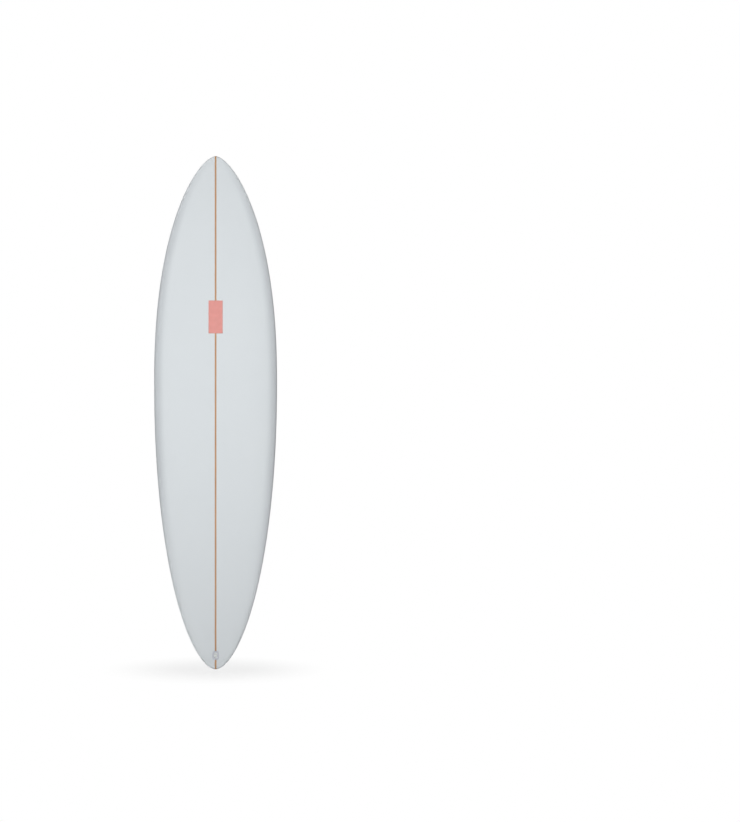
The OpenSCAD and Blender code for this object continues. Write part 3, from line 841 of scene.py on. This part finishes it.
def label_material():
    finish = settings().finish
    material, tree, surface, place = begin_material("label_paper")
    speckle = group(tree, "Speckle", Place=place, Grain=420.0, Clouds=60.0)
    weave = group(tree, "Weave", Place=place, Strands=STRANDS)["Height"]
    shader = principled(
        tree, Base_Color=between(tree, speckle["Grain"], finish.label, finish.label_fibre),
        Roughness=ranged(tree, speckle["Grain"], 0.6, 0.8), Specular_IOR_Level=UNDER_GLASS,
        Normal=bumped(tree, weave, 0.00006))
    cover = ranged(tree, speckle["Clouds"], *LABEL_COVER)
    seen_through(tree, surface, cover, finish.label_fibre, shader)
    return material


def box_material():
    """White plastic, with a cream front between the flange's two sides."""
    finish, f = settings().finish, settings().fittings
    material, tree, surface, place = begin_material("box_plastic")
    speckle = group(tree, "Speckle", Place=place, Grain=900.0, Clouds=50.0)
    at = add_node(tree, "ShaderNodeSeparateXYZ", {"Vector": place}).outputs
    ahead = math_node(tree, "SUBTRACT", at["Z"], f.box_place)
    front = math_node(tree, "GREATER_THAN", ahead, f.rim_length / 2 - f.box_front)
    toe = math_node(tree, "MULTIPLY", ahead, math.tan(f.toe_in))
    across = math_node(tree, "SUBTRACT", math_node(tree, "ABSOLUTE", at["X"]), f.box_offset)
    across = math_node(tree, "ABSOLUTE", math_node(tree, "ADD", across, toe))
    body = math_node(tree, "LESS_THAN", across, f.body_width / 2)
    cream = math_node(tree, "MULTIPLY", front, body)
    solid_finish(
        tree, surface, Base_Color=between(tree, cream, finish.box, finish.box_front),
        Roughness=ranged(tree, speckle["Clouds"], *MOULDED_ROUGHNESS),
        Normal=bumped(tree, speckle["Grain"], MOULDED_GRAIN))
    return material


def cup_material():
    """Pale grey plastic, with painted light in the cup's round-ended hollow."""
    finish, f = settings().finish, settings().fittings
    material, tree, surface, place = begin_material("plug_plastic")
    speckle = group(tree, "Speckle", Place=place, Grain=900.0, Clouds=40.0)
    at = add_node(tree, "ShaderNodeSeparateXYZ", {"Vector": place}).outputs
    length, width = f.cup_length - 2 * f.cup_end, f.cup_width - 2 * f.cup_side
    along = math_node(tree, "ABSOLUTE", math_node(tree, "SUBTRACT", at["Z"], f.plug_place))
    along = math_node(tree, "SUBTRACT", along, (length - width) / 2)
    along = math_node(tree, "MAXIMUM", along, 0.0)
    squares = [math_node(tree, "MULTIPLY", way, way) for way in (along, at["X"])]
    reach = math_node(tree, "ADD", *squares)
    # Painted light: the round-ended hollow is made lighter than the rim
    lit_hollow = math_node(tree, "LESS_THAN", reach, (width / 2 + f.moulded_edge) ** 2)
    rim = between(tree, speckle["Grain"], finish.cup, finish.cup_fleck)
    solid_finish(
        tree, surface, Base_Color=between(tree, lit_hollow, rim, finish.cup_painted_light),
        Roughness=ranged(tree, speckle["Clouds"], *MOULDED_ROUGHNESS),
        Normal=bumped(tree, speckle["Grain"], MOULDED_GRAIN))
    return material


def steel_material(name, stretch):
    material, tree, surface, place = begin_material(name)
    streaks = group(tree, "Streaks", Place=place, Stretch=stretch)["Streaks"]
    solid_finish(
        tree, surface, Base_Color=opaque(settings().finish.steel), Metallic=1.0,
        Roughness=ranged(tree, streaks, 0.18, 0.42), Normal=bumped(tree, streaks, 0.00002))
    return material


# The pieces

class SURFBOARD_OT_core(bpy.types.Operator):
    """Make the two foam halves, the stringer and its glue lines"""

    bl_idname = "surfboard.core"
    bl_label = "Foam and Stringer"

    def execute(self, context):
        hull = Hull()
        shape = hull.shape
        stringer_face = shape.stringer_width / 2
        foam_face = stringer_face + shape.glue_thickness
        foam = foam_material()
        for side, word in SIDE_NAMES.items():
            self.foam_half(hull, side, foam_face, foam, word)
        wood = wood_material()
        self.plate(hull, -stringer_face, stringer_face, wood, "wood_stringer", "stringer", "stringer")
        finish = settings().finish
        glue = plain_material("dried_glue", finish.glue, finish.wood,
                              grain=600.0, low=0.4, high=0.6, depth=0.00005)
        for side, word in SIDE_NAMES.items():
            low, high = sorted((side * stringer_face, side * foam_face))
            self.plate(hull, low, high, glue, f"glue_line_{word}", "glue", f"stringer_glue_{word}")
        return {"FINISHED"}

    def foam_half(self, hull, side, face, material, word):
        sections = []
        for z, points in hull.core_rows(hull.shape.skin_depth):
            sections.append(raised(points if side == RIGHT else mirrored(points), z))
        mesh = tube_mesh(sections)
        saw_off(mesh, Vector((side * face, 0.0, 0.0)))
        piece = new_piece(mesh, f"foam_blank_{word}", material)
        carve(piece, box_pocket(hull, side) + plug_pocket(hull))
        self.mark_painted_shade(hull, piece)
        fit(piece, "foam", f"foam_{word}")

    def mark_painted_shade(self, hull, piece):
        """Marks the foam with painted shade along the bottom contours' walls and round the upper rail."""
        depth = hull.shape.skin_depth
        stretch = hull.length / (hull.length - 2 * depth)
        marks = {"pool": [], "lap": []}
        for vert in piece.data.vertices:
            x, y, z = abs(vert.co.x), vert.co.y, (vert.co.z - depth) * stretch
            w = hull.outline(z) - depth
            height = hull.bottom_y(z) - y
            on_bottom = abs(height - depth - hull.contour(x, w, z)) < SURFACE_PLAY
            marks["pool"].append(hull.pool(x, w, z) if on_bottom else 0.0)
            marks["lap"].append(hull.lap(x, w, z, height))
        for name, values in marks.items():
            mark = piece.data.attributes.new(name, "FLOAT", "POINT")
            mark.data.foreach_set("value", values)

    def plate(self, hull, low, high, material, name, slot, node):
        sections = []
        for z, points in hull.core_rows(hull.shape.skin_depth):
            deck, bottom = points[0][1], points[-1][1]
            sections.append(raised([(low, deck), (high, deck), (high, bottom), (low, bottom)], z))
        piece = new_piece(tube_mesh(sections), name, material)
        carve(piece, plug_pocket(hull))
        fit(piece, slot, node)


def box_pocket(hull, side):
    """Cutters for the room of a fin box in the foam."""
    f = settings().fittings
    place = hull.box_frame(side)
    gap = f.resin_gap
    return [
        plate_mesh(f.flange_length + 2 * gap, f.flange_width + 2 * gap, f.flange_corner + gap,
                   -f.flange_floor - gap, f.cut_over, place),
        plate_mesh(f.rim_length + 2 * gap, f.body_width + 2 * gap, f.body_corner + gap,
                   -f.box_floor - gap, -f.flange_floor, place),
    ]


def box_opening(hull, side):
    """A cutter for a box's rim in the glass."""
    f = settings().fittings
    length, width = f.rim_length + 2 * f.rim_gap, f.rim_width + 2 * f.rim_gap
    return round_ended(length, width, -f.cut_over, f.cut_over, hull.box_frame(side))


def plug_opening(hull, depth):
    """A cutter for the plug's flange."""
    f = settings().fittings
    length, width = f.plug_length + 2 * f.rim_gap, f.plug_width + 2 * f.rim_gap
    return round_ended(length, width, -f.cut_over, depth, hull.plug_frame())


def plug_pocket(hull):
    """Cutters for the room of the leash plug in the core."""
    f = settings().fittings
    length, width = f.cup_length + 2 * f.resin_gap, f.cup_width + 2 * f.resin_gap
    cup = round_ended(length, width, 0.0, f.cup_depth + f.resin_gap, hull.plug_frame())
    return [cup, plug_opening(hull, f.plug_flange + f.rim_gap)]


class SURFBOARD_OT_skin(bpy.types.Operator):
    """Make the clear gloss shells of the deck and the bottom, and the inner cloth of the deck"""

    bl_idname = "surfboard.skin"
    bl_label = "Glass Skin"

    def execute(self, context):
        hull = Hull()
        gloss = gloss_material()
        rows = list(hull.skin_rows())
        self.deck(hull, rows, gloss)
        self.bottom(hull, rows, gloss)
        self.cloth(hull)
        return {"FINISHED"}

    def deck(self, hull, rows, gloss):
        """The deck's shell laps round both rails on to the bottom, and closes both tips."""
        sheet = []
        for z, points in rows:
            over = points[:LAP + 1]
            sheet.append(raised(mirrored(over[1:]) + over, z))
        mesh = sheet_mesh(sheet)
        for level in (0.0, hull.length):
            rim = [e for e in mesh.edges if all(abs(v.co.z - level) < SAME_POINT for v in e.verts)]
            bmesh.ops.contextual_create(mesh, geom=rim)
        bmesh.ops.recalc_face_normals(mesh, faces=mesh.faces)
        piece = new_piece(mesh, "deck_gloss", gloss)
        thicken(piece, hull.shape.gloss_thickness)
        carve(piece, [plug_opening(hull, settings().fittings.plug_flange)])
        fit(piece, "glass", "deck_glass")

    def bottom(self, hull, rows, gloss):
        """The bottom's shell lies between the laps of the deck's."""
        sheet = []
        for z, points in rows:
            under = points[LAP:]
            sheet.append(raised(under + mirrored(under[:-1]), z))
        piece = new_piece(sheet_mesh(sheet), "bottom_gloss", gloss)
        thicken(piece, hull.shape.gloss_thickness)
        carve(piece, [box_opening(hull, side) for side in SIDE_NAMES])
        fit(piece, "glass", "bottom_glass")

    def cloth(self, hull):
        """The inner cloth ends a little short of the rails and the tips."""
        sheet = []
        for z, points in list(hull.core_rows(hull.shape.cloth_depth))[CLOTH_ENDS:-CLOTH_ENDS]:
            over = points[:CLOTH_STEPS]
            sheet.append(raised(mirrored(over[1:]) + over, z))
        piece = new_piece(sheet_mesh(sheet), "inner_deck_cloth", cloth_material())
        thicken(piece, hull.shape.film_thickness)
        carve(piece, [plug_opening(hull, settings().fittings.plug_flange)])
        fit(piece, "inner_cloth", "deck_patch")


class SURFBOARD_OT_prints(bpy.types.Operator):
    """Make the label panel under the deck's glass and the fin dots under the bottom's"""

    bl_idname = "surfboard.prints"
    bl_label = "Label and Dots"

    def execute(self, context):
        hull = Hull()
        finish = settings().finish
        self.label(hull)
        ink = plain_material("dot_paper", finish.dot, finish.dot_fibre,
                             grain=500.0, low=0.45, high=0.6, depth=0.00003)
        for side, word in SIDE_NAMES.items():
            self.dot(hull, side, ink, word)
        return {"FINISHED"}

    def label(self, hull):
        f = settings().fittings
        across = [f.label_width * (j / LABEL_COLUMNS - 0.5) for j in range(LABEL_COLUMNS + 1)]
        sheet = []
        for i in range(LABEL_ROWS + 1):
            z = f.label_place + f.label_length * (i / LABEL_ROWS - 0.5)
            sheet.append([hull.deck_point(x, z, f.label_depth) for x in across])
        piece = new_piece(sheet_mesh(sheet), "label_film", label_material())
        thicken(piece, hull.shape.film_thickness)
        fit(piece, "label", "label_panel")

    def dot(self, hull, side, ink, word):
        f = settings().fittings
        mesh = bmesh.new()
        bmesh.ops.create_circle(mesh, cap_ends=True, segments=DOT_STEPS, radius=f.dot_diameter / 2)
        for vert in mesh.verts:
            vert.co = hull.bottom_point(
                side * f.dot_offset - vert.co.x, f.dot_place + vert.co.y, f.dot_depth)
        piece = new_piece(mesh, f"printed_dot_{word}", ink)
        thicken(piece, hull.shape.film_thickness)
        fit(piece, "dot", f"fin_dot_{word}")


class SURFBOARD_OT_fin_boxes(bpy.types.Operator):
    """Make the two fin boxes, the resin round them and their grub screws"""

    bl_idname = "surfboard.fin_boxes"
    bl_label = "Fin Boxes"

    def execute(self, context):
        f = settings().fittings
        plastic = box_material()
        resin = resin_material("box_resin")
        steel = steel_material("turned_steel", stretch=(900.0, 900.0, 900.0))
        for word in SIDE_NAMES.values():
            box = eased_cast(f"fin_box_{word}", f.moulded_edge, f"moulded_box_{word}", plastic)
            fit(box, "box_plastic", f"fin_box_{word}")
            bed = resin_cast(f"fin_box_resin_{word}", f"box_bedding_{word}", resin)
            fit(bed, "resin", f"fin_box_resin_{word}")
            screw = eased_cast(f"fin_screw_{word}", f.turned_edge, f"grub_screw_{word}", steel)
            fit(screw, "screw_steel", f"fin_screw_{word}", body=f"{word}_screw")
        return {"FINISHED"}


class SURFBOARD_OT_leash_plug(bpy.types.Operator):
    """Make the leash plug: its cup, the bar across it and the resin round it"""

    bl_idname = "surfboard.leash_plug"
    bl_label = "Leash Plug"

    def execute(self, context):
        f = settings().fittings
        cup = eased_cast("leash_cup", f.moulded_edge, "moulded_cup", cup_material())
        fit(cup, "plug_plastic", "leash_cup")
        steel = steel_material("drawn_steel", stretch=(30.0, 900.0, 900.0))
        bar = eased_cast("leash_bar", f.turned_edge, "cup_bar", steel)
        fit(bar, "bar_steel", "leash_bar")
        bed = resin_cast("leash_resin", "plug_bedding", resin_material("plug_resin"))
        fit(bed, "resin", "leash_resin")
        return {"FINISHED"}


# The stage

class SURFBOARD_OT_stage(bpy.types.Operator):
    """Set the floor, the white surroundings, the lights and the camera"""

    bl_idname = "surfboard.stage"
    bl_label = "Studio Stage"

    # The photograph's frame, the board's middle in it, and the real length of one of its pixels
    frame_height, frame_width = 822, 740
    board_px = (215.6, 413.7)
    pixel = 0.004169
    # The camera's distance, and the width of its sensor in millimetres
    distance, sensor = 8.3, 36.0
    # Light that the surroundings shed on the board
    ambient = 0.02
    # Places, widths and powers of the lamps, the height that they point at and the cone of their light
    lamps = {
        "key_lamp": ((-1.0, -13.0, 2.4), 3.0, 55.0),
        "fill_lamp": ((0.8, -13.0, 1.0), 3.0, 5.0),
        "back_lamp": ((1.0, 13.0, 2.4), 3.0, 56.4),
        "left_lamp": ((-13.0, 0.0, 1.6), 3.0, 4.0),
        "right_lamp": ((13.0, 0.0, 1.6), 3.0, 4.0),
    }
    aim = 1.4
    spread = math.radians(30)
    # The floor: half its width, its steps and its two greys
    floor_reach, floor_steps = 30.0, 8
    floor_greys = ((0.76, 0.76, 0.76), (0.8, 0.8, 0.8))
    # The share of plain white over the shadow at the board's foot, and where that grows to all of it
    shadow_white, shadow_near, shadow_far = 0.8, 0.03, 0.5

    def execute(self, context):
        context.scene.view_settings.view_transform = "Standard"
        self.floor()
        self.surroundings(context.scene)
        for name, values in self.lamps.items():
            self.lamp(name, *values)
        self.camera(context.scene)
        return {"FINISHED"}

    def floor(self):
        mesh = bmesh.new()
        steps = self.floor_steps
        bmesh.ops.create_grid(mesh, x_segments=steps, y_segments=steps, size=self.floor_reach)
        material, tree, surface, place = begin_material("pale_floor")
        clouds = group(tree, "Speckle", Place=place, Grain=60.0, Clouds=1.5)["Clouds"]
        pale = between(tree, clouds, *self.floor_greys)
        diffuse = principled(tree, Base_Color=pale, Roughness=0.9)
        white = add_node(tree, "ShaderNodeEmission", {"Color": WHITE, "Strength": 1.0}).outputs[0]
        away = add_node(tree, "ShaderNodeVectorMath", {0: place}, operation="LENGTH").outputs["Value"]
        span = {"From Min": self.shadow_near, "From Max": self.shadow_far, "To Min": self.shadow_white}
        fade = add_node(tree, "ShaderNodeMapRange", {"Value": away, **span},
                        interpolation_type="SMOOTHSTEP").outputs["Result"]
        cover = math_node(tree, "MULTIPLY", fade, self.seeing(tree))
        mix = add_node(tree, "ShaderNodeMixShader", {0: cover, 1: diffuse, 2: white})
        tree.links.new(mix.outputs[0], surface)
        new_piece(mesh, "studio_floor", material)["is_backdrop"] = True

    def seeing(self, tree):
        """1 for rays that look at the surroundings, and 0 for those that gather light from them."""
        path = add_node(tree, "ShaderNodeLightPath").outputs
        total = path[SEEING_RAYS[0]]
        for name in SEEING_RAYS[1:]:
            total = math_node(tree, "MAXIMUM", total, path[name])
        return total

    def surroundings(self, scene):
        world = bpy.data.worlds.new("white_studio")
        world.use_nodes = True
        scene.world = world
        tree = world.node_tree
        tree.nodes.clear()
        strength = ranged(tree, self.seeing(tree), self.ambient, 1.0)
        light = add_node(tree, "ShaderNodeBackground", {"Color": WHITE, "Strength": strength})
        output = add_node(tree, "ShaderNodeOutputWorld")
        tree.links.new(light.outputs[0], output.inputs["Surface"])

    def lamp(self, name, place, width, power):
        data = bpy.data.lights.new(name, "AREA")
        data.size = width
        data.spread = self.spread
        data.energy = power
        lamp = bpy.data.objects.new(name, data)
        lamp.location = place
        lamp.visible_glossy = False
        beam = Vector((0.0, 0.0, self.aim)) - lamp.location
        lamp.rotation_euler = beam.to_track_quat("-Z", "Y").to_euler()
        bpy.context.scene.collection.objects.link(lamp)

    def camera(self, scene):
        """A camera square to the deck, with the board at its place in the picture."""
        data = bpy.data.cameras.new("photo_camera")
        data.sensor_width = self.sensor
        data.lens = self.sensor * self.distance / (self.frame_height * self.pixel)
        data.shift_x = (self.frame_width / 2 - self.board_px[0]) / self.frame_height
        camera = bpy.data.objects.new("photo_camera", data)
        middle = (CAD_BOX[0] + CAD_BOX[1]) / 2
        rise = (self.board_px[1] - self.frame_height / 2) * self.pixel
        camera.location = (0.0, middle.y - self.distance, middle.z + rise)
        camera.rotation_euler = (math.pi / 2, 0.0, 0.0)
        scene.collection.objects.link(camera)
        scene.camera = camera


class SURFBOARD_PT_panel(bpy.types.Panel):
    """The pieces and their settings, in the sidebar"""

    bl_idname = "SURFBOARD_PT_panel"
    bl_label = "Surfboard"
    bl_space_type = "VIEW_3D"
    bl_region_type = "UI"
    bl_category = "Surfboard"

    def draw(self, context):
        for operator in OPERATORS:
            self.layout.operator(operator.bl_idname)
        for part in ("shape", "fittings", "finish"):
            values = getattr(context.scene.surfboard, part)
            box = self.layout.box()
            for key in values.__annotations__:
                box.prop(values, key)


OPERATORS = (
    SURFBOARD_OT_core, SURFBOARD_OT_skin, SURFBOARD_OT_prints, SURFBOARD_OT_fin_boxes,
    SURFBOARD_OT_leash_plug, SURFBOARD_OT_stage,
)
CLASSES = (BoardShape, FittingShape, BoardFinish, Surfboard, *OPERATORS, SURFBOARD_PT_panel)


def register():
    for cls in CLASSES:
        bpy.utils.register_class(cls)
    bpy.types.Scene.surfboard = PointerProperty(type=Surfboard)


def unregister():
    del bpy.types.Scene.surfboard
    for cls in reversed(CLASSES):
        bpy.utils.unregister_class(cls)


def main():
    register()
    bpy.ops.surfboard.core()
    bpy.ops.surfboard.skin()
    bpy.ops.surfboard.prints()
    bpy.ops.surfboard.fin_boxes()
    bpy.ops.surfboard.leash_plug()
    bpy.ops.surfboard.stage()
    boxes = {"cad": CAD_BOX, "visual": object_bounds()}
    {name: [list(corner) for corner in box] for name, box in boxes.items()}


if __name__ == "__main__":
    main()
